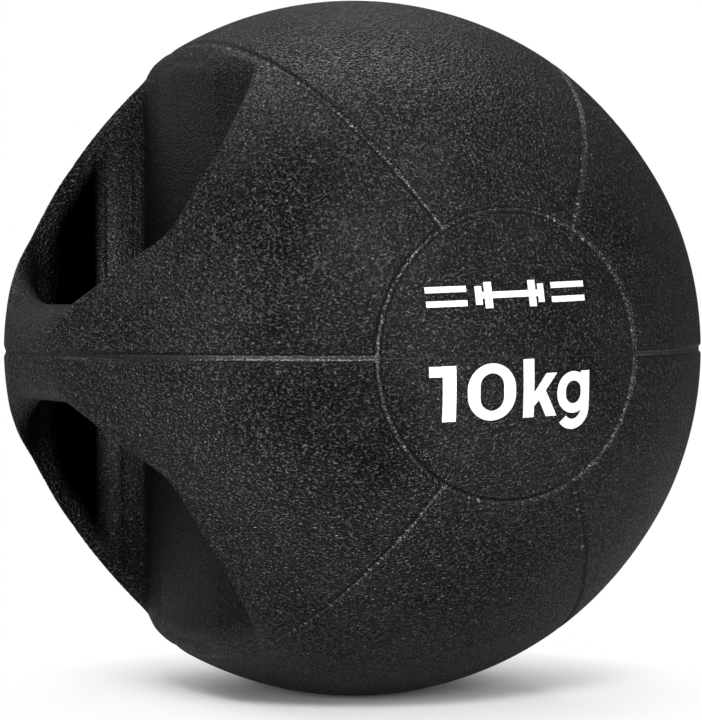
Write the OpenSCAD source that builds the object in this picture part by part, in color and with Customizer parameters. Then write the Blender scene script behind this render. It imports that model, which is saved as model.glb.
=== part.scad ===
// Double-grip medicine ball, 10 kg.
// Black grained rubber ball with a moulded hand grip on its left and right sides.
// Frame: origin at the ball's centre, +Z up, the printed disc faces -Y,
// the grips stand on -X and +X and the mould's parting plane is z = 0.
// Outside in: two cover halves, a cushion-gum bond between them, two ballast halves,
// an air bladder and its valve on the back disc.

/* [Ball] */
// Ball diameter, mm
ball_d = 280; // [266:1:310]
// Thickness of the grained rubber cover, mm
cover_t = 8; // [6:0.5:10]
// Thickness of cover and ballast together, mm
wall_t = 38; // [30:0.5:42]
// Thickness of the bladder's wall, mm
bladder_t = 1.5; // [1:0.1:2.5]
// Thickness of the cushion gum between the cover halves, mm
bond_t = 0.8; // [0.5:0.1:1.2]
// Diameter of the flat that the rubber makes where it stands, mm
contact_d = 29; // [26:1:34]

/* [Grooves] */
// Width of the moulded grooves, mm
groove_w = 3.2; // [2.4:0.1:4]
// Radius of the ring groove around each disc, from the ball's Y axis, mm
ring_r = 54.2; // [50:0.1:58]
// Angle of the slanting grooves from the parting plane, degrees
groove_angle = 60; // [58:0.5:62]

/* [Grips] */
// Depth of a grip's axis under the ball's surface, mm
grip_depth = 14; // [12:0.5:18]
// Radius of a grip at its middle, mm
grip_r = 18.8; // [16:0.1:20]
// Half length of a grip's straight middle, mm
grip_half = 17; // [14:0.5:18]
// Thickness of a grip from its outer to its inner face, mm
grip_t = 26.4; // [24:0.1:32]
// How far a grip's outer face stands proud of the ball, mm
crown_h = 2.4; // [1.5:0.1:3]
// Radius of that outer face, mm
crown_r = 104.5; // [100:0.5:108]

/* [Finger pockets] */
// Depth of a pocket's back wall under the ball's surface, at its middle, mm
pocket_depth = 65; // [60:0.5:68]
// Radius of the back wall's bow, mm
bow_r = 223; // [200:1:260]
// Half width of a pocket, mm
pocket_half = 73.3; // [68:0.1:78]
// Radius of a pocket's side wall, mm
side_r = 44.5; // [43:0.5:46]
// Radius of the corner behind a grip's end, mm
corner_r = 24; // [21:0.5:25]

/* [Valve] */
// Height of the valve's mouth above the parting plane, mm
valve_z = 24; // [20:0.5:30]
// Outer radius of the valve's stem, mm
stem_r = 6; // [5:0.1:7]
// Radius of the valve's plug, mm
plug_r = 2.8; // [2.2:0.1:3.2]

/* [Print] */
// Tilt of the print on the disc, degrees
print_tilt = 1.9; // [0:0.1:3]
// Height of the figures' baseline above the parting plane, mm
figures_z = -22.4; // [-24:0.1:-22]
// Height of the mark's middle above the parting plane, mm
mark_z = 22.9; // [20:0.1:26]
// Thickness of the printed ink, mm
ink_t = 0.25; // [0.2:0.05:0.4]

/* [Hidden] */
$fn = 96;
ball_r = ball_d / 2;
gap = 0.3;
big = 400;
core_r = ball_r - cover_t;
air_r = ball_r - wall_t;
grip_x = ball_r - grip_depth;
grip_back_x = ball_r + crown_h - grip_t;
pocket_x = ball_r - pocket_depth;
flare_r = pocket_half - grip_half + 0.7;
side_x = pocket_x + 31;
side_y = pocket_half + 1.8 - side_r;
corner_x = grip_back_x - corner_r;
corner_y = pocket_half + 3.7 - corner_r;
flare_c = grip_r + flare_r;
crown_x = ball_r + crown_h - crown_r;
ring_y = sqrt(ball_r * ball_r - ring_r * ring_r);
flat_z = sqrt(ball_r * ball_r - contact_d * contact_d / 4);
valve_tilt = asin(valve_z / ball_r);
stem_lo = air_r - gap - bladder_t;
stem_hi = ball_r - 1.2;
mouth = 16;
rubber = [0.055, 0.055, 0.06];
dense = [0.16, 0.155, 0.15];
butyl = [0.24, 0.22, 0.2];
gum = [0.02, 0.02, 0.02];
white = [0.95, 0.95, 0.95];

// Outline of a pocket together with the room its grip crosses, seen from above,
// on the +X side and made g larger all round.
module pocket_plan(g) {
    difference() {
        intersection() {
            union() {
                for (s = [-1, 1]) translate([side_x, s * side_y]) circle(r = side_r + g);
                translate([side_x - side_r, -side_y]) square([side_r, 2 * side_y]);
                translate([side_x - 14, -pocket_half - g]) square([80, 2 * (pocket_half + g)]);
            }
            translate([0, -pocket_half - g]) square([180, 2 * (pocket_half + g)]);
        }
        translate([pocket_x - bow_r, 0]) circle(r = bow_r - g);
    }
}

// What is cleared behind a grip, seen from above.
module finger_plan() {
    translate([0, -95]) square([corner_x, 190]);
    for (s = [-1, 1]) translate([corner_x, s * corner_y]) circle(r = corner_r);
    translate([corner_x - 1, -corner_y]) square([grip_back_x - corner_x + 1, 2 * corner_y]);
}

// Half profile of a grip: straight in the middle, flaring out to its ends.
module grip_profile() {
    difference() {
        translate([0, -pocket_half - 1.5]) square([flare_c, 2 * pocket_half + 3]);
        for (s = [-1, 1]) translate([flare_c, s * grip_half]) circle(r = flare_r);
        translate([grip_r, -grip_half]) square([flare_c, 2 * grip_half]);
    }
}

// One grip with its flared ends, cut off behind for the fingers.
module grip_form() {
    difference() {
        translate([grip_x, 0, 0]) rotate([-90, 0, 0]) rotate_extrude() grip_profile();
        translate([0, 0, -big / 2]) linear_extrude(height = big) finger_plan();
    }
}

// One pocket as it is cut from the ball, with its grip left standing.
module pocket_cut() {
    difference() {
        translate([0, 0, -big / 2]) linear_extrude(height = big) pocket_plan(0);
        grip_form();
    }
}

// One slanting or level groove over the whole ball, between the two ring grooves.
module long_groove(a) {
    rotate([0, -a, 0]) difference() {
        rotate_extrude() translate([ball_r, 0]) circle(r = groove_w / 2);
        rotate([90, 0, 0]) cylinder(r = ring_r, h = big, center = true);
    }
}

// The level groove dies out before it reaches the grips.
module level_groove() {
    difference() {
        long_groove(0);
        cube([big, 76, 20], center = true);
    }
}

// Ring groove around one disc, s is -1 for the front and 1 for the back.
module ring_groove(s) {
    translate([0, s * ring_y, 0]) rotate([90, 0, 0]) rotate_extrude()
        translate([ring_r, 0]) circle(r = groove_w / 2);
}

// The whole ball before it is hollowed.
module ball_form() {
    difference() {
        union() {
            sphere(r = ball_r);
            for (s = [-1, 1]) translate([s * crown_x, 0, 0]) sphere(r = crown_r);
        }
        pocket_cut();
        mirror([1, 0, 0]) pocket_cut();
        level_groove();
        long_groove(groove_angle);
        long_groove(-groove_angle);
        ring_groove(-1);
        ring_groove(1);
        translate([0, 0, -flat_z - 20]) cube([80, 80, 40], center = true);
    }
}

// Space inside a lining of thickness g: the ball r, kept g clear of both pockets.
module inner_form(r, g) {
    difference() {
        sphere(r = r);
        translate([0, 0, -big / 2]) linear_extrude(height = big) pocket_plan(g);
        mirror([1, 0, 0]) translate([0, 0, -big / 2]) linear_extrude(height = big) pocket_plan(g);
    }
}

// Cylinder on the valve's axis between two distances from the ball's centre.
module on_valve_axis(r, from, to) {
    rotate([valve_tilt, 0, 0]) rotate([-90, 0, 0]) translate([0, 0, from])
        cylinder(r = r, h = to - from);
}

// Half space above (1) or below (-1) a height h.
module half(s, h) {
    translate([0, 0, s * (h + big / 2)]) cube([big, big, big], center = true);
}

// Upper half of the grained cover with the upper halves of both grips.
module upper_cover() {
    color(rubber) difference() {
        intersection() {
            ball_form();
            half(1, bond_t / 2);
        }
        inner_form(core_r, cover_t);
        on_valve_axis(stem_r + gap, 80, 170);
    }
}

// Lower half of the cover, with the flat it stands on.
module lower_cover() {
    color(rubber) difference() {
        intersection() {
            ball_form();
            half(-1, bond_t / 2);
        }
        inner_form(core_r, cover_t);
    }
}

// Cushion gum that joins the cover halves all along the parting plane.
module seam_bond() {
    color(gum) difference() {
        intersection() {
            ball_form();
            cube([big, big, bond_t], center = true);
        }
        inner_form(core_r, cover_t);
    }
}

// Dense rubber layer that gives the ball its weight.
module ballast(s) {
    color(dense) difference() {
        intersection() {
            inner_form(core_r - gap, cover_t + gap);
            half(s, 0);
        }
        inner_form(air_r, wall_t);
        on_valve_axis(stem_r + gap, 80, 170);
    }
}

module upper_ballast() {
    ballast(1);
}

module lower_ballast() {
    ballast(-1);
}

// Bladder that holds the air, waisted between the two pockets.
module air_bladder() {
    color(butyl) difference() {
        inner_form(air_r - gap, wall_t + gap);
        inner_form(air_r - gap - bladder_t, wall_t + gap + bladder_t);
        on_valve_axis(stem_r + gap, 80, 170);
    }
}

// Rubber stem from the bladder to the back disc, with a socket for the plug.
module valve_stem() {
    color(butyl) difference() {
        union() {
            on_valve_axis(stem_r, stem_lo - 2, stem_hi);
            on_valve_axis(stem_r + 4, stem_lo - 4.2, stem_lo - 2);
        }
        on_valve_axis(plug_r + gap, stem_hi - mouth, stem_hi + 5);
        on_valve_axis(0.8, stem_lo - 6, stem_hi);
    }
}

// Plug that seals the stem, let in just below its mouth.
module valve_plug() {
    color(gum) difference() {
        on_valve_axis(plug_r, stem_hi - mouth, stem_hi - 1);
        on_valve_axis(0.5, stem_hi - mouth + 3, stem_hi);
    }
}

// Printed film: a flat outline laid on the front of the ball.
module film() {
    intersection() {
        rotate([90, 0, 0]) linear_extrude(height = 200) children();
        difference() {
            sphere(r = ball_r + gap + ink_t);
            sphere(r = ball_r + gap);
        }
    }
}

module stadium(r, lo, hi) {
    translate([0, lo]) circle(r = r);
    translate([0, hi]) circle(r = r);
    translate([-r, lo]) square([2 * r, hi - lo]);
}

module figure_one() {
    translate([-31, 0]) square([5, 20.3]);
    translate([-35.9, 16.4]) square([7, 3.9]);
}

module figure_nought() {
    translate([-12.2, 0]) difference() {
        stadium(9.5, 9.2, 11.1);
        stadium(4.7, 8, 12.3);
    }
}

module letter_k() {
    polygon([[0.5, 0], [5, 0], [5, 3.93], [7.1, 6.2], [10.3, 0], [15, 0], [9.9, 9.6], [15, 15.9],
             [10.3, 15.9], [5, 8.93], [5, 21.5], [0.5, 21.5]]);
}

module letter_g() {
    difference() {
        translate([22.5, 0]) stadium(7.3, 7.8, 8.7);
        translate([22.5, 0]) stadium(3.5, 7.6, 9);
    }
    translate([26.1, 1.5]) square([3.9, 14.5]);
    difference() {
        translate([22.4, 2.1]) circle(r = 7.6);
        translate([22.4, 2.1]) circle(r = 3.8);
        translate([10, 2.1]) square([25, 10]);
        polygon([[22.4, 2.1], [12.4, -6.2], [10, 2.1], [10, 3], [22.4, 3]]);
    }
}

// The weight, ten kilograms, in rounded bold figures.
module weight_figures() {
    color(white) film() translate([0, figures_z]) rotate(print_tilt) {
        figure_one();
        figure_nought();
        letter_k();
        letter_g();
    }
}

// Plain decoration above the weight: a bar with plates between two pairs of bars.
module plain_mark() {
    color(white) film() translate([-4.4, mark_z]) rotate(print_tilt) {
        translate([-14, -1.2]) square([28, 2.4]);
        for (s = [-1, 1]) {
            translate([s * 9 - 1.5, -4.8]) square([3, 9.6]);
            translate([s * 12.8 - 1.3, -3.4]) square([2.6, 6.8]);
            for (v = [-1, 1]) translate([s * 25 - 7.6, v * 2.6 - 1.1]) square([15.2, 2.2]);
        }
    }
}

upper_cover();
lower_cover();
seam_bond();
upper_ballast();
lower_ballast();
air_bladder();
valve_stem();
valve_plug();
weight_figures();
plain_mark();
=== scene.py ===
import math

import bmesh
import bpy
import numpy as np
from bpy.props import FloatProperty, FloatVectorProperty, PointerProperty
from bpy.types import Operator, Panel, PropertyGroup
from mathutils import Matrix, Vector


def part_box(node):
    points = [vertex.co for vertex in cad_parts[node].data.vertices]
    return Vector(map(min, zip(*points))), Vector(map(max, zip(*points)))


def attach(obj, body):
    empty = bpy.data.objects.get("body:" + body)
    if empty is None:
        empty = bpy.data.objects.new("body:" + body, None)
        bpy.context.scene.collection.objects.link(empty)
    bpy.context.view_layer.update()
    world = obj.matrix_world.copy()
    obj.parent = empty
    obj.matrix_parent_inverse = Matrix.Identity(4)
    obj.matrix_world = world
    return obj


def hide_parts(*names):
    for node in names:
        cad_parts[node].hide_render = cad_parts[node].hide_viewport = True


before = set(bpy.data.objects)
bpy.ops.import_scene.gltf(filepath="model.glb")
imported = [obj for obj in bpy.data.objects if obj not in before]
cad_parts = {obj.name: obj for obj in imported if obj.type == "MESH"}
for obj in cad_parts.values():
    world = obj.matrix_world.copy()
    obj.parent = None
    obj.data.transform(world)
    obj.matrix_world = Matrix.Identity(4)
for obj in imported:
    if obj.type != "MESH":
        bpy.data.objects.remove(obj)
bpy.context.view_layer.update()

bl_info = {
    "name": "Double-grip medicine ball",
    "version": (1, 0, 0),
    "blender": (4, 5, 0),
    "location": "View3D > Sidebar > Medicine ball",
    "description": "Grained rubber ball with two moulded grips, its parting line, print and stage",
    "category": "Object",
}

BALL_RADIUS = round(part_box("upper_cover")[1][1], 4)
FLOOR_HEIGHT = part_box("lower_cover")[0][2]

# Where the level groove starts beside a grip's middle, where the grooves start at the ring, how
# much grain the back walls lose, and where a grip's lips go from soft to sharp
LEVEL_START = (0.026, 0.040)
RING_EDGE = 0.0006
WALL_PLAIN = 0.45
LIP_SHARPENS = (0.012, 0.040)
# Roundings where the moulded forms meet
CROWN_BLEND = 0.003
WALL_BLEND = 0.0015
BEHIND_BLEND = 0.010
ROOT_BLEND = 0.004
FLOOR_BLEND = 0.001
# Half height of the gum line, and how far its face lies below the rubber's
SEAM_HALF = 0.0002
SEAM_SINK = 0.00025
# Height of the valve on the back, radius of its hole, and the rod that cuts the hole
VALVE_HEIGHT = 0.024
VALVE_RADIUS = 0.0063
VALVE_ROD_MIDDLE = 0.125
VALVE_ROD_LENGTH = 0.09
# Most triangles in the shaped rubber before it is halved and hollowed
RUBBER_TRIANGLES = 330000
# Farthest a vertex moves in one round of settling, and how near the surface it then has to be
MOST_MOVE = 0.002
ON_SKIN = 0.00006
# Half width of the tools that cut right through, and how far the space behind a grip is cleared
REACH = 0.2
CLEARED = 0.095

# Camera: turn, rise and roll in degrees, distance, lens, and shift across and up
CAMERA_TURN = -26.32
CAMERA_RISE = 1.53
CAMERA_ROLL = -0.19
CAMERA_REACH = 1.26
CAMERA_LENS = 155.4
CAMERA_SHIFT = (-2.3 / 720, -11.9 / 720)
BACKGROUND = 1.0
FILL = 0.11
# Lights: name, turn from the camera and height in degrees, distance, width and height, watts
LIGHTS = (
    ("front_window", 0.0, 30.0, 1.5, (0.4, 0.3), 12.4),
    ("left_strip", -28.0, -8.0, 1.3, (0.16, 1.1), 14.5),
    ("right_strip", 25.0, 5.0, 1.3, (0.22, 0.9), 8.6),
    ("overhead", 0.0, 88.0, 1.2, (0.7, 0.7), 1.7),
    ("back_edge", 180.0, 55.0, 1.2, (0.5, 0.5), 2.0),
    ("left_top", -90.0, 50.0, 1.2, (0.5, 0.5), 2.5),
    ("right_side", 90.0, 10.0, 1.2, (0.4, 0.6), 1.2),
    ("left_back", -130.0, 20.0, 1.2, (0.6, 0.6), 0.6),
)


def length(name, text, value):
    return FloatProperty(name=name, description=text, default=value, unit="LENGTH", precision=5)


def colour(name, text, value):
    return FloatVectorProperty(name=name, description=text, default=value, subtype="COLOR",
                               size=4, min=0.0, max=1.0)


class BallSizes(PropertyGroup):
    radius: length("Ball radius", "Radius of the rubber ball", BALL_RADIUS)
    cover: length("Cover thickness", "Thickness of the grained rubber cover", 0.008)
    crown_radius: length("Grip face radius", "Radius of a grip's outer face", 0.1045)
    crown_rise: length("Grip face rise", "How far a grip's outer face stands proud", 0.0024)
    groove_depth: length("Groove depth", "Depth of the moulded grooves", 0.0015)
    groove_half: length("Groove half width", "Half width of the moulded grooves", 0.0020)
    ring: length("Ring radius", "Radius of the ring groove round each disc", 0.0542)
    groove_angle: FloatProperty(name="Groove angle", subtype="ANGLE", default=math.radians(60),
                                description="Angle of the slanting grooves from the parting plane")
    voxel: length("Grid", "Grid on which the rubber is first shaped", 0.0009)


class PocketSizes(PropertyGroup):
    wall: length("Back wall", "Distance of a pocket's back wall from the ball's centre", 0.075)
    bow: length("Back wall bow", "Radius of the back wall's bow", 0.223)
    half: length("Half width", "Half width of a pocket", 0.0733)
    side: length("Side wall radius", "Radius of a pocket's side wall", 0.0445)
    grip: length("Grip radius", "Radius of a grip at its middle", 0.0188)
    grip_axis: length("Grip axis", "Distance of a grip's axis from the ball's centre", 0.126)
    grip_half: length("Grip straight", "Half length of a grip's straight middle", 0.017)
    grip_back: length("Grip back", "Distance of a grip's inner face from the centre", 0.116)
    corner: length("Corner radius", "Radius of the corner behind a grip's end", 0.024)
    soft_lip: length("Soft lip", "Rounding of a grip's edges at its middle", 0.0070)
    sharp_lip: length("Sharp lip", "Rounding of a pocket's near edges", 0.0009)


class FinishColours(PropertyGroup):
    rubber: colour("Rubber", "Colour of the grained rubber", (0.0088, 0.0088, 0.0090, 1.0))
    rubber_dark: colour("Rubber in the grain", "Colour between the grains", (0.0030, 0.0030, 0.0031, 1.0))
    gum: colour("Cushion gum", "Colour of the gum in the parting line", (0.0025, 0.0025, 0.0025, 1.0))
    ink: colour("Ink", "Colour of the printed figures", (0.93, 0.93, 0.93, 1.0))
    ballast: colour("Ballast", "Colour of the dense rubber inside", (0.075, 0.072, 0.068, 1.0))
    butyl: colour("Butyl", "Colour of the bladder and the valve", (0.11, 0.10, 0.09, 1.0))
    floor: colour("Floor", "Colour of the floor", (0.45, 0.45, 0.45, 1.0))


# ---------------------------------------------------------------- shape of the rubber

def round_max(a, b, r):
    """Where both forms overlap, with the edge between them rounded to r."""
    return np.minimum(-r, np.maximum(a, b)) + np.hypot(np.maximum(a + r, 0), np.maximum(b + r, 0))


def step(low, high, x):
    t = np.clip((x - low) / (high - low), 0, 1)
    return t * t * (3 - 2 * t)


def side_middle(p):
    """Middle of a pocket's rounded side wall, on the +X side."""
    return p.wall + 0.031, p.half + 0.0018 - p.side


def corner_middle(p):
    """Middle of the rounded corner behind a grip's end, on the +X side."""
    return p.grip_back - p.corner, p.half + 0.0037 - p.corner


def flare_radius(p):
    """Radius in which a grip widens from its straight middle to the pocket's side."""
    return p.half - p.grip_half + 0.0007


def back_and_side(x, y, p, g=0.0):
    """Distances to a pocket's bowed back wall and to its side wall, on the +X side."""
    side_x, side_y = side_middle(p)
    bow = p.bow - g - np.hypot(x - (p.wall - p.bow), y)
    side = np.hypot(np.maximum(side_x - x, 0), np.maximum(y - side_y, 0)) - p.side - g
    return bow, np.maximum(side, y - p.half - g)


def grooves(at, b):
    """How deep the moulded grooves are here, 1 along their middles and 0 outside them."""
    x, y, z = np.abs(at[:, 0]), np.abs(at[:, 1]), np.abs(at[:, 2])
    off_axis = np.hypot(x, z)
    reach = np.sqrt(off_axis ** 2 + y * y)
    ring = b.radius * np.abs(np.arcsin(np.clip(off_axis / reach, 0, 1))
                             - math.asin(b.ring / b.radius))
    slant = np.abs(x * math.sin(b.groove_angle) - z * math.cos(b.groove_angle))
    outside = step(b.ring - RING_EDGE, b.ring + RING_EDGE, off_axis)

    def trough(t):
        return 0.5 * (1 + np.cos(np.pi * np.minimum(t / b.groove_half, 1)))

    level = trough(z) * outside * step(*LEVEL_START, y)
    return np.maximum(np.maximum(trough(ring), trough(slant) * outside), level)


def plain_part(at, b, p):
    """Where the mould has no grain: in the grooves and, partly, on the pockets' back walls."""
    x, y = np.abs(at[:, 0]), np.abs(at[:, 1])
    bow, _ = back_and_side(x, y, p)
    inside = np.linalg.norm(at, axis=1) < b.radius - 0.004
    wall = np.where(inside & (np.abs(bow) < 0.002), WALL_PLAIN, 0.0)
    return np.maximum(np.clip(grooves(at, b) * 1.6, 0, 1), wall)


def rubber_distance(at, b, p):
    """Signed distance from the moulded surface, negative in the rubber."""
    x, y, z = np.abs(at[:, 0]), np.abs(at[:, 1]), np.abs(at[:, 2])
    reach = np.sqrt(x * x + y * y + z * z)
    crown_x = b.radius + b.crown_rise - b.crown_radius
    crown = np.sqrt((x - crown_x) ** 2 + y * y + z * z) - b.crown_radius
    skin = -round_max(b.radius - reach, -crown, CROWN_BLEND)
    skin = skin + grooves(at, b) * b.groove_depth
    # pocket with its grip left standing
    bow, side = back_and_side(x, y, p)
    plan = round_max(bow, side, WALL_BLEND)
    flare = flare_radius(p)
    around = np.hypot(x - p.grip_axis, z)
    ends = flare - np.hypot(y - p.grip_half, np.minimum(around - p.grip - flare, 0))
    shaft = np.where(y > p.grip_half, ends, around - p.grip)
    corner_x, corner_y = corner_middle(p)
    behind = np.hypot(np.maximum(x - corner_x, 0), np.maximum(y - corner_y, 0)) - p.corner
    shaft = round_max(shaft, -behind, BEHIND_BLEND)
    hollow = round_max(plan, -shaft, ROOT_BLEND)
    lip = p.soft_lip + (p.sharp_lip - p.soft_lip) * step(*LIP_SHARPENS, y)
    rubber = round_max(skin, -hollow, lip)
    return round_max(rubber, -at[:, 2] + FLOOR_HEIGHT, FLOOR_BLEND)


def slope(at, b, p):
    """Outward directions of the moulded surface, and its distance at the same points."""
    here = rubber_distance(at, b, p)
    lean = np.empty_like(at)
    e = 0.00004
    for axis in range(3):
        shift = np.zeros(3)
        shift[axis] = e
        lean[:, axis] = (rubber_distance(at + shift, b, p) - rubber_distance(at - shift, b, p)) / (2 * e)
    size = np.linalg.norm(lean, axis=1)
    lean /= np.maximum(size, 1e-6)[:, None]
    return here, lean, size


def points(mesh):
    """A mesh's vertices as rows of x, y and z."""
    at = np.empty(len(mesh.vertices) * 3)
    mesh.vertices.foreach_get("co", at)
    return at.reshape(-1, 3)


def settle(mesh, b, p, rounds, sink=0.0):
    """Moves a mesh's vertices onto the moulded surface, or sink below it."""
    at = points(mesh)
    for _ in range(rounds):
        here, lean, size = slope(at, b, p)
        move = np.clip((here + sink) / np.maximum(size, 0.5), -MOST_MOVE, MOST_MOVE)
        at = at - move[:, None] * lean
    mesh.vertices.foreach_set("co", at.ravel())
    mesh.update()


# ---------------------------------------------------------------- making solids

def add_object(name, bm):
    """Puts a bmesh into the scene as an object at the origin."""
    mesh = bpy.data.meshes.new(name)
    bm.to_mesh(mesh)
    bm.free()
    made = bpy.data.objects.new(name, mesh)
    bpy.context.scene.collection.objects.link(made)
    return made


def sphere(name, radius, middle=(0, 0, 0), around=160, rings=100):
    bm = bmesh.new()
    place = Matrix.Translation(middle) @ Matrix.Rotation(math.pi / 2, 4, "X")
    bmesh.ops.create_uvsphere(bm, u_segments=around, v_segments=rings, radius=radius, matrix=place)
    return add_object(name, bm)


def prism(name, outline, low=-REACH, high=REACH):
    """Raises a flat outline, given as x and y points, into a prism."""
    bm = bmesh.new()
    base = bm.faces.new([bm.verts.new((x, y, low)) for x, y in outline])
    up = bmesh.ops.extrude_face_region(bm, geom=[base])
    bmesh.ops.translate(bm, vec=(0, 0, high - low),
                        verts=[v for v in up["geom"] if isinstance(v, bmesh.types.BMVert)])
    bmesh.ops.recalc_face_normals(bm, faces=bm.faces)
    return add_object(name, bm)


def box(name, low, high):
    bm = bmesh.new()
    bmesh.ops.create_cube(bm, size=1)
    low, high = Vector(low), Vector(high)
    bmesh.ops.scale(bm, vec=high - low, verts=bm.verts)
    bmesh.ops.translate(bm, vec=(low + high) / 2, verts=bm.verts)
    return add_object(name, bm)


def keep(target, modifiers):
    """Applies modifiers, each given as its type and settings, and drops the tools they used."""
    tools = []
    for kind, settings in modifiers:
        made = target.modifiers.new(kind.lower(), kind)
        for key, value in settings.items():
            setattr(made, key, value)
        if settings.get("object"):
            tools.append(settings["object"])
    bpy.context.view_layer.update()
    ready = target.evaluated_get(bpy.context.evaluated_depsgraph_get())
    mesh = bpy.data.meshes.new_from_object(ready)
    target.modifiers.clear()
    old, target.data = target.data, mesh
    bpy.data.meshes.remove(old)
    mesh.name = target.name
    for tool in set(tools):
        tool_mesh = tool.data
        bpy.data.objects.remove(tool)
        bpy.data.meshes.remove(tool_mesh)
    return target


def cut(tool, operation="DIFFERENCE", solver="EXACT"):
    return ("BOOLEAN", {"object": tool, "operation": operation, "solver": solver})


def pocket_outline(p, g=0.0, steps=121):
    """Outline of a pocket on the +X side, made g larger all round."""
    reach = p.half + g
    y = np.linspace(-reach, reach, steps)
    side_x, side_y = side_middle(p)
    bow = p.wall - p.bow + np.sqrt((p.bow - g) ** 2 - y * y)
    round_part = np.maximum(np.abs(y) - side_y, 0)
    side = side_x - np.sqrt(np.maximum((p.side + g) ** 2 - round_part ** 2, 0))
    x = np.maximum(bow, side)
    return [(REACH, -reach)] + list(zip(x.tolist(), y.tolist())) + [(REACH, reach)]


def mirrored(outline):
    return [(-x, y) for x, y in reversed(outline)]


def grip_form(name, sign, p):
    """One grip with its flared ends, spun about its own axis and cleared behind."""
    flare = flare_radius(p)
    bm = bmesh.new()
    turn = np.linspace(math.radians(88), 0, 24)
    end = [(p.grip + flare * (1 - math.cos(a)), p.grip_half + flare * math.sin(a)) for a in turn]
    profile = [(r, y) for r, y in end] + [(r, -y) for r, y in reversed(end)]
    centre = sign * p.grip_axis
    verts = [bm.verts.new((centre + r, y, 0)) for r, y in profile]
    edges = [bm.edges.new(pair) for pair in zip(verts, verts[1:])]
    bmesh.ops.spin(bm, geom=verts + edges, cent=(centre, 0, 0), axis=(0, 1, 0),
                   angle=2 * math.pi, steps=96, use_merge=True)
    bmesh.ops.remove_doubles(bm, verts=bm.verts, dist=1e-6)
    bmesh.ops.holes_fill(bm, edges=bm.edges)
    bmesh.ops.recalc_face_normals(bm, faces=bm.faces)
    grip = add_object(name, bm)
    corner_x, corner_y = corner_middle(p)
    turn = np.linspace(math.pi / 2, 0, 14)
    bend = [(corner_x + p.corner * math.cos(a), corner_y + p.corner * math.sin(a)) for a in turn]
    outline = [(0.0, CLEARED), (corner_x - 0.001, CLEARED)] + bend
    outline += [(x, -y) for x, y in reversed(outline)]
    if sign < 0:
        outline = [(-x, y) for x, y in outline]
    return keep(grip, [cut(prism(name + "_behind", outline))])


def rubber_body(b, p):
    """The whole ball in one, with pockets, grips, grooves and rolled edges."""
    grid = b.voxel * 1
    ball = sphere("ball", b.radius)
    tools = []
    crown_x = b.radius + b.crown_rise - b.crown_radius
    for sign in (-1, 1):
        tools.append(cut(sphere(f"crown_{sign}", b.crown_radius, (sign * crown_x, 0, 0)), "UNION"))
    for sign in (-1, 1):
        outline = pocket_outline(p)
        pocket = prism(f"pocket_{sign}", mirrored(outline) if sign < 0 else outline)
        keep(pocket, [cut(grip_form(f"grip_{sign}", sign, p))])
        tools.append(cut(pocket))
    keep(ball, tools)
    keep(ball, [("REMESH", {"mode": "VOXEL", "voxel_size": grid, "use_smooth_shade": True})])
    settle(ball.data, b, p, 4)
    faces = len(ball.data.polygons)
    wanted = RUBBER_TRIANGLES
    if 2 * faces > wanted:
        keep(ball, [("DECIMATE", {"ratio": wanted / (2 * faces), "use_collapse_triangulate": True})])
        settle(ball.data, b, p, 2)
    return ball


def inner_room(name, b, p):
    """The room that the ballast fills."""
    room = sphere(name, b.radius - b.cover, around=128, rings=80)
    tools = []
    for sign in (-1, 1):
        outline = pocket_outline(p, b.cover)
        tools.append(cut(prism(f"{name}_{sign}", mirrored(outline) if sign < 0 else outline)))
    return keep(room, tools)


def smooth_outside(made, b, p, sink=0.0):
    """Marks the plain rubber, gives the surface its true normals and leaves the cut faces flat."""
    mesh = made.data
    at = points(mesh)
    here, lean, _ = slope(at, b, p)
    on_skin = np.abs(here + sink) < ON_SKIN
    corner_vertex = np.empty(len(mesh.loops), dtype=np.int32)
    mesh.loops.foreach_get("vertex_index", corner_vertex)
    faces = len(mesh.polygons)
    normal = np.empty(faces * 3)
    mesh.polygons.foreach_get("normal", normal)
    normal = normal.reshape(-1, 3)
    total = np.empty(faces, dtype=np.int32)
    mesh.polygons.foreach_get("loop_total", total)
    face_of = np.repeat(np.arange(faces), total)
    agree = np.einsum("ij,ij->i", normal[face_of], lean[corner_vertex])
    use = on_skin[corner_vertex] & (agree > 0.45)
    whole = np.ones(faces, dtype=bool)
    np.logical_and.at(whole, face_of, use)
    result = np.where(whole[face_of][:, None], lean[corner_vertex], normal[face_of])
    marked = mesh.attributes.new("plain", "FLOAT", "POINT")
    marked.data.foreach_set("value", plain_part(at, b, p).astype(np.float32))
    mesh.polygons.foreach_set("use_smooth", np.ones(faces, dtype=bool))
    mesh.normals_split_custom_set(result.tolist())
    mesh.update()


def half_of(body, name, low, high, b, p, valve=False, sink=0.0):
    """One closed piece of the ball between two heights, hollowed for the ballast."""
    made = bpy.data.objects.new(name, body.data.copy())
    bpy.context.scene.collection.objects.link(made)
    if sink:
        settle(made.data, b, p, 2, sink)
    piece = box(name + "_slice", (-REACH, -REACH, low), (REACH, REACH, high))
    steps = [cut(piece, "INTERSECT", "MANIFOLD"),
             cut(inner_room(name + "_room", b, p), "DIFFERENCE", "MANIFOLD")]
    if valve:
        steps.append(cut(valve_hole(b), "DIFFERENCE", "MANIFOLD"))
    keep(made, steps)
    smooth_outside(made, b, p, sink)
    return made


def valve_hole(b):
    """Rod on the valve's axis that clears the stem."""
    rise = VALVE_HEIGHT / b.radius
    axis = Vector((0, math.cos(math.asin(rise)), rise))
    turn = axis.to_track_quat("Z", "Y").to_matrix().to_4x4()
    bm = bmesh.new()
    bmesh.ops.create_cone(bm, cap_ends=True, segments=64, radius1=VALVE_RADIUS, radius2=VALVE_RADIUS,
                          depth=VALVE_ROD_LENGTH, matrix=Matrix.Translation(axis * VALVE_ROD_MIDDLE) @ turn)
    return add_object("valve_rod", bm)


# ---------------------------------------------------------------- finishes

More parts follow.
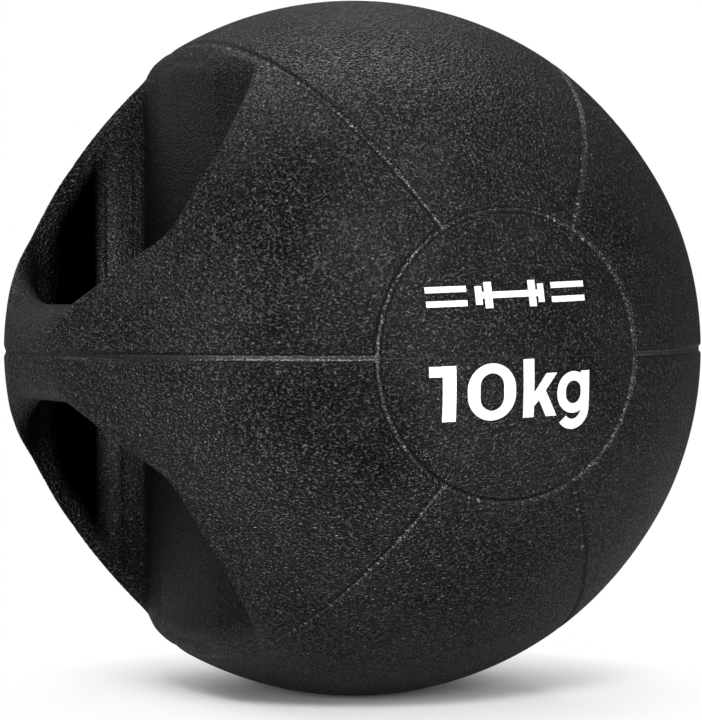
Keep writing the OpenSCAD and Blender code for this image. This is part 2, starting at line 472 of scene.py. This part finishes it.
class Finish:
    """A material built up of nodes round one Principled shader."""

    def __init__(self, name):
        self.material = bpy.data.materials.new(name)
        self.material.use_nodes = True
        self.tree = self.material.node_tree
        self.tree.nodes.clear()
        self.out = self.tree.nodes.new("ShaderNodeOutputMaterial")
        self.shader = self.add("BsdfPrincipled")
        self.tree.links.new(self.shader.outputs[0], self.out.inputs[0])
        self.place = self.add("TexCoord").outputs["Object"]

    def add(self, kind, settings=None, **inputs):
        made = self.tree.nodes.new("ShaderNode" + kind)
        for key, value in (settings or {}).items():
            setattr(made, key, value)
        for key, value in inputs.items():
            self.join(value, made.inputs[key.replace("_", " ")])
        return made

    def join(self, value, socket):
        if isinstance(value, bpy.types.NodeSocket):
            self.tree.links.new(value, socket)
        else:
            socket.default_value = value

    def put(self, **inputs):
        for key, value in inputs.items():
            self.join(value, self.shader.inputs[key.replace("_", " ")])

    def noise(self, scale, detail=2.0, rough=0.5, vector=None):
        return self.add("TexNoise", Vector=vector or self.place, Scale=scale, Detail=detail,
                        Roughness=rough)

    def stretch(self, value, low, high, to_low=0.0, to_high=1.0):
        made = self.add("MapRange")
        self.join(value, made.inputs["Value"])
        for key, number in (("From Min", low), ("From Max", high), ("To Min", to_low), ("To Max", to_high)):
            made.inputs[key].default_value = number
        return made.outputs["Result"]

    def math(self, operation, a, b=0.0):
        made = self.add("Math", {"operation": operation})
        self.join(a, made.inputs[0])
        self.join(b, made.inputs[1])
        return made.outputs[0]

    def blend(self, factor, a, b):
        made = self.add("Mix", {"data_type": "RGBA"})
        for value, key in ((factor, 0), (a, 6), (b, 7)):
            self.join(value, made.inputs[key])
        return made.outputs[2]

    def bump(self, height, strength, distance, under=None):
        made = self.add("Bump", Height=height, Strength=strength, Distance=distance)
        if under:
            self.join(under, made.inputs["Normal"])
        return made.outputs["Normal"]


def painted_pocket_shade(f, p):
    """How much painted shade the pockets get: fully black in the tunnels behind the grips, and up to a
    third of the way to black on the back walls.

    A tunnel's painted shade fades out along X and Y, above a slanting top, and near the ball's skin.
    """
    split = f.add("SeparateXYZ", Vector=f.place)
    x, y, z = (f.math("ABSOLUTE", split.outputs[axis]) for axis in "XYZ")
    reach = f.add("VectorMath", {"operation": "LENGTH"}, Vector=f.place).outputs["Value"]
    along = f.math("MULTIPLY", f.stretch(x, p.wall + 0.004, p.wall + 0.010), f.stretch(x, 0.107, 0.098))
    across = f.math("MULTIPLY", f.stretch(y, 0.030, 0.055),
                    f.stretch(y, p.half + 0.001, p.half + 0.0002))
    lean = f.math("MULTIPLY", f.math("MAXIMUM", f.math("SUBTRACT", x, p.wall + 0.009), 0.0), 1.9)
    low = f.math("MULTIPLY", f.stretch(f.math("ADD", z, lean), 0.100, 0.080),
                 f.stretch(reach, 0.136, 0.131))
    tunnel = f.math("MULTIPLY", f.math("MULTIPLY", along, across), low)
    wall = f.math("MULTIPLY", f.stretch(x, p.wall + 0.006, p.wall, 0.0, 0.34),
                  f.stretch(reach, 0.138, 0.132))
    return f.math("MAXIMUM", tunnel, wall)


def grained_rubber(c, p):
    """Black rubber with a fine leather grain, glossy on its ridges, plainer in the grooves, and with
    painted shade in the pockets.
    """
    f = Finish("grained_rubber")
    plain = f.add("Attribute", {"attribute_name": "plain"}).outputs["Fac"]
    squeezed = f.add("Mapping", Vector=f.place, Scale=(1.0, 1.0, 1.35)).outputs[0]
    drift = f.noise(420.0, 1.0, vector=squeezed)
    shift = f.add("VectorMath", {"operation": "MULTIPLY_ADD"}, Vector=drift.outputs["Color"])
    shift.inputs[1].default_value = (0.0014, 0.0014, 0.0014)
    f.join(squeezed, shift.inputs[2])
    worms = f.noise(850.0, 1.5, 0.5, vector=shift.outputs[0]).outputs["Fac"]
    cells = f.add("TexVoronoi", {"feature": "SMOOTH_F1"}, Vector=shift.outputs[0], Scale=900.0,
                  Smoothness=0.2).outputs["Distance"]
    grain = f.math("SUBTRACT", f.math("MULTIPLY", worms, 1.3), f.math("MULTIPLY", cells, 0.5))
    wide = f.noise(16.0, 3.0, 0.6).outputs["Fac"]
    grained = f.math("MULTIPLY", f.stretch(wide, 0.35, 0.65, 0.75, 1.0),
                     f.stretch(plain, 0.0, 1.0, 1.0, 0.10))
    ridge = f.stretch(grain, 0.35, 0.60)
    level = f.math("SUBTRACT", 1.0, f.math("MULTIPLY", f.math("SUBTRACT", 1.0, ridge), grained))
    # Painted shade: the tunnels behind the grips turn black, the pockets' back walls darker, and their
    # grain weaker
    painted_shade = painted_pocket_shade(f, p)
    height = f.math("MULTIPLY", f.math("MULTIPLY", grain, grained), f.stretch(painted_shade, 0.0, 1.0, 1.0, 0.3))
    shade_black = (0.0, 0.0, 0.0, 1.0)
    # Where shade is painted, the colour goes to black and the rubber turns metallic with a black tint, so
    # it reflects almost nothing
    tone = f.blend(painted_shade, f.blend(level, c.rubber_dark, c.rubber), shade_black)
    gloss = f.blend(level, (0.03, 0.03, 0.03, 1.0), (1.0, 1.0, 1.0, 1.0))
    f.put(Base_Color=tone, Metallic=painted_shade, Roughness=f.stretch(level, 0.0, 1.0, 0.5, 0.26), IOR=1.7,
          Specular_Tint=f.blend(painted_shade, gloss, shade_black), Normal=f.bump(height, 1.0, 0.0015))
    return f.material


def gum(c):
    """Cushion gum, dark and uneven where it shows in the parting line."""
    f = Finish("cushion_gum")
    wander = f.noise(160.0, 3.0, 0.6).outputs["Fac"]
    f.put(Base_Color=f.blend(f.stretch(wander, 0.35, 0.65), c.gum, c.rubber),
          Roughness=f.stretch(wander, 0.3, 0.7, 0.5, 0.8), Normal=f.bump(wander, 0.6, 0.0003))
    return f.material


def ink(c):
    """Thick white print that follows the grain a little."""
    f = Finish("white_print")
    speck = f.noise(900.0, 2.0, 0.5).outputs["Fac"]
    worn = tuple(0.9 * v for v in c.ink[:3]) + (1.0,)
    f.put(Base_Color=f.blend(f.stretch(speck, 0.25, 0.6), worn, c.ink),
          Roughness=f.stretch(speck, 0.3, 0.7, 0.35, 0.55), Normal=f.bump(speck, 0.25, 0.0002))
    return f.material


def cast_rubber(name, tint, scale, rough):
    """Rubber of the parts inside, with flecks and flow marks."""
    f = Finish(name)
    flow = f.noise(scale, 4.0, 0.6).outputs["Fac"]
    fleck = f.noise(scale * 12, 2.0, 0.5).outputs["Fac"]
    dark = tuple(0.55 * v for v in tint[:3]) + (1.0,)
    mixed = f.math("MULTIPLY", f.stretch(flow, 0.3, 0.7), f.stretch(fleck, 0.3, 0.6, 0.6, 1.0))
    f.put(Base_Color=f.blend(mixed, dark, tuple(tint)),
          Roughness=f.stretch(fleck, 0.3, 0.7, rough, rough + 0.2), Normal=f.bump(fleck, 0.4, 0.0003))
    return f.material


def floor_finish(c):
    """Pale studio floor with a faint mottle; the camera sees it brighter, and white away from the ball."""
    f = Finish("pale_floor")
    mottle = f.noise(6.0, 3.0, 0.5).outputs["Fac"]
    low = tuple(0.97 * v for v in c.floor[:3]) + (1.0,)
    f.put(Base_Color=f.blend(mottle, low, c.floor), Roughness=0.7)
    bright = f.add("BsdfDiffuse", Color=(1.3, 1.3, 1.3, 1.0))
    away = f.add("VectorMath", {"operation": "LENGTH"}, Vector=f.place)
    sweep = f.add("MixShader")
    f.join(f.stretch(away.outputs["Value"], 0.146, 0.205), sweep.inputs[0])
    f.join(bright.outputs[0], sweep.inputs[1])
    f.join(f.add("Emission", Color=(1.0, 1.0, 1.0, 1.0), Strength=1.0).outputs[0], sweep.inputs[2])
    seen = f.add("LightPath").outputs["Is Camera Ray"]
    mix = f.add("MixShader")
    f.join(seen, mix.inputs[0])
    f.join(f.shader.outputs[0], mix.inputs[1])
    f.join(sweep.outputs[0], mix.inputs[2])
    f.join(mix.outputs[0], f.out.inputs[0])
    return f.material


def dress(made, material):
    made.data.materials.clear()
    made.data.materials.append(material)


def dress_node(name, material):
    """Gives a carried-over node its finish in every material slot."""
    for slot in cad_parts[name].material_slots:
        slot.material = material


def towards(turn, rise):
    """Direction from the ball that is turned from the front and raised, in degrees."""
    turn, rise = math.radians(turn), math.radians(rise)
    return Vector((math.sin(turn) * math.cos(rise), -math.cos(turn) * math.cos(rise), math.sin(rise)))


# ---------------------------------------------------------------- operators

class BALL_OT_cover(Operator):
    """Make the two halves of the grained cover, with pockets, grips and grooves, and the parting line"""
    bl_idname = "ball.cover"
    bl_label = "Cover and parting line"

    def execute(self, context):
        scene = context.scene
        b, p, c = scene.ball_sizes, scene.pocket_sizes, scene.finish_colours
        body = rubber_body(b, p)
        upper = half_of(body, "grained_cover_upper", SEAM_HALF, REACH, b, p, valve=True)
        lower = half_of(body, "grained_cover_lower", -REACH, -SEAM_HALF, b, p)
        line = half_of(body, "parting_line", -SEAM_HALF, SEAM_HALF, b, p, sink=SEAM_SINK)
        mesh = body.data
        bpy.data.objects.remove(body)
        bpy.data.meshes.remove(mesh)
        rubber = grained_rubber(c, p)
        for made, node in ((upper, "upper_cover"), (lower, "lower_cover")):
            if len(made.data.polygons) < 1000:
                raise RuntimeError(f"{made.name} came out empty")
            dress(made, rubber)
            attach(made, "root")
            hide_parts(node)
        dress(line, gum(c))
        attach(line, "root")
        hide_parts("seam_bond")
        for made in (upper, lower, line):
            print(made.name, len(made.data.polygons), "faces")
        return {"FINISHED"}


class BALL_OT_print(Operator):
    """Give the printed weight and the plain mark their ink"""
    bl_idname = "ball.print"
    bl_label = "Print"

    def execute(self, context):
        material = ink(context.scene.finish_colours)
        for name in ("weight_figures", "plain_mark"):
            dress_node(name, material)
        return {"FINISHED"}


class BALL_OT_inside(Operator):
    """Give the ballast, the bladder and the valve their rubber finishes"""
    bl_idname = "ball.inside"
    bl_label = "Inside and valve"

    def execute(self, context):
        c = context.scene.finish_colours
        dense = cast_rubber("dense_rubber", c.ballast, 30.0, 0.7)
        butyl = cast_rubber("butyl_rubber", c.butyl, 60.0, 0.45)
        dark = cast_rubber("plug_rubber", c.rubber, 80.0, 0.5)
        for name, material in (("upper_ballast", dense), ("lower_ballast", dense),
                               ("air_bladder", butyl), ("valve_stem", butyl), ("valve_plug", dark)):
            dress_node(name, material)
        return {"FINISHED"}


class BALL_OT_stage(Operator):
    """Set the pale floor, the soft lights and the camera"""
    bl_idname = "ball.stage"
    bl_label = "Stage"

    def execute(self, context):
        scene = context.scene
        c = scene.finish_colours
        bm = bmesh.new()
        bmesh.ops.create_circle(bm, cap_ends=True, segments=96, radius=6.0,
                                matrix=Matrix.Translation((0, 0, FLOOR_HEIGHT)))
        floor = add_object("floor", bm)
        dress(floor, floor_finish(c))
        self.lights(scene)
        self.camera(scene)
        return {"FINISHED"}

    def lights(self, scene):
        world = bpy.data.worlds.new("studio")
        scene.world = world
        world.use_nodes = True
        tree = world.node_tree
        tree.nodes.clear()
        out = tree.nodes.new("ShaderNodeOutputWorld")
        mix = tree.nodes.new("ShaderNodeMixShader")
        path = tree.nodes.new("ShaderNodeLightPath")
        tree.links.new(path.outputs["Is Camera Ray"], mix.inputs[0])
        for socket, strength in ((1, FILL), (2, BACKGROUND)):
            white = tree.nodes.new("ShaderNodeBackground")
            white.inputs["Color"].default_value = (1, 1, 1, 1)
            white.inputs["Strength"].default_value = strength
            tree.links.new(white.outputs[0], mix.inputs[socket])
        tree.links.new(mix.outputs[0], out.inputs[0])
        for name, turn, rise, reach, size, energy in LIGHTS:
            light = bpy.data.lights.new(name, "AREA")
            light.shape = "RECTANGLE"
            light.size, light.size_y = size
            light.energy = energy
            made = bpy.data.objects.new(name, light)
            place = towards(CAMERA_TURN + turn, rise)
            made.location = place * reach
            made.rotation_euler = (-place).to_track_quat("-Z", "Y").to_euler()
            scene.collection.objects.link(made)
        scene.view_settings.view_transform = "Standard"

    def camera(self, scene):
        azimuth, roll = math.radians(CAMERA_TURN), math.radians(CAMERA_ROLL)
        back = towards(CAMERA_TURN, CAMERA_RISE)
        level = Vector((math.cos(azimuth), math.sin(azimuth), 0))
        upright = back.cross(level)
        right = level * math.cos(roll) + upright * math.sin(roll)
        up = upright * math.cos(roll) - level * math.sin(roll)
        data = bpy.data.cameras.new("camera")
        data.sensor_fit = "VERTICAL"
        data.sensor_height = 36.0
        data.lens = CAMERA_LENS
        data.shift_x, data.shift_y = CAMERA_SHIFT
        made = bpy.data.objects.new("camera", data)
        turn = Matrix((right, up, back)).transposed().to_4x4()
        made.matrix_world = Matrix.Translation(back * CAMERA_REACH) @ turn
        scene.collection.objects.link(made)
        scene.camera = made


class BALL_PT_panel(Panel):
    """Sizes, finishes and steps of the medicine ball"""
    bl_label = "Medicine ball"
    bl_idname = "BALL_PT_panel"
    bl_space_type = "VIEW_3D"
    bl_region_type = "UI"
    bl_category = "Medicine ball"

    def draw(self, context):
        scene = context.scene
        for title, group in (("Ball", scene.ball_sizes), ("Pockets and grips", scene.pocket_sizes),
                             ("Finishes", scene.finish_colours)):
            part = self.layout.box()
            part.label(text=title)
            for name in group.__annotations__:
                part.prop(group, name)
        for step_class in STEPS:
            self.layout.operator(step_class.bl_idname)


STEPS = (BALL_OT_cover, BALL_OT_print, BALL_OT_inside, BALL_OT_stage)
GROUPS = (("ball_sizes", BallSizes), ("pocket_sizes", PocketSizes), ("finish_colours", FinishColours))


def register():
    for name, group in GROUPS:
        bpy.utils.register_class(group)
        setattr(bpy.types.Scene, name, PointerProperty(type=group))
    for made in STEPS + (BALL_PT_panel,):
        bpy.utils.register_class(made)


def unregister():
    for made in reversed(STEPS + (BALL_PT_panel,)):
        bpy.utils.unregister_class(made)
    for name, group in reversed(GROUPS):
        delattr(bpy.types.Scene, name)
        bpy.utils.unregister_class(group)


def main():
    register()
    bpy.ops.ball.cover()
    bpy.ops.ball.print()
    bpy.ops.ball.inside()
    bpy.ops.ball.stage()


if __name__ == "__main__":
    main()
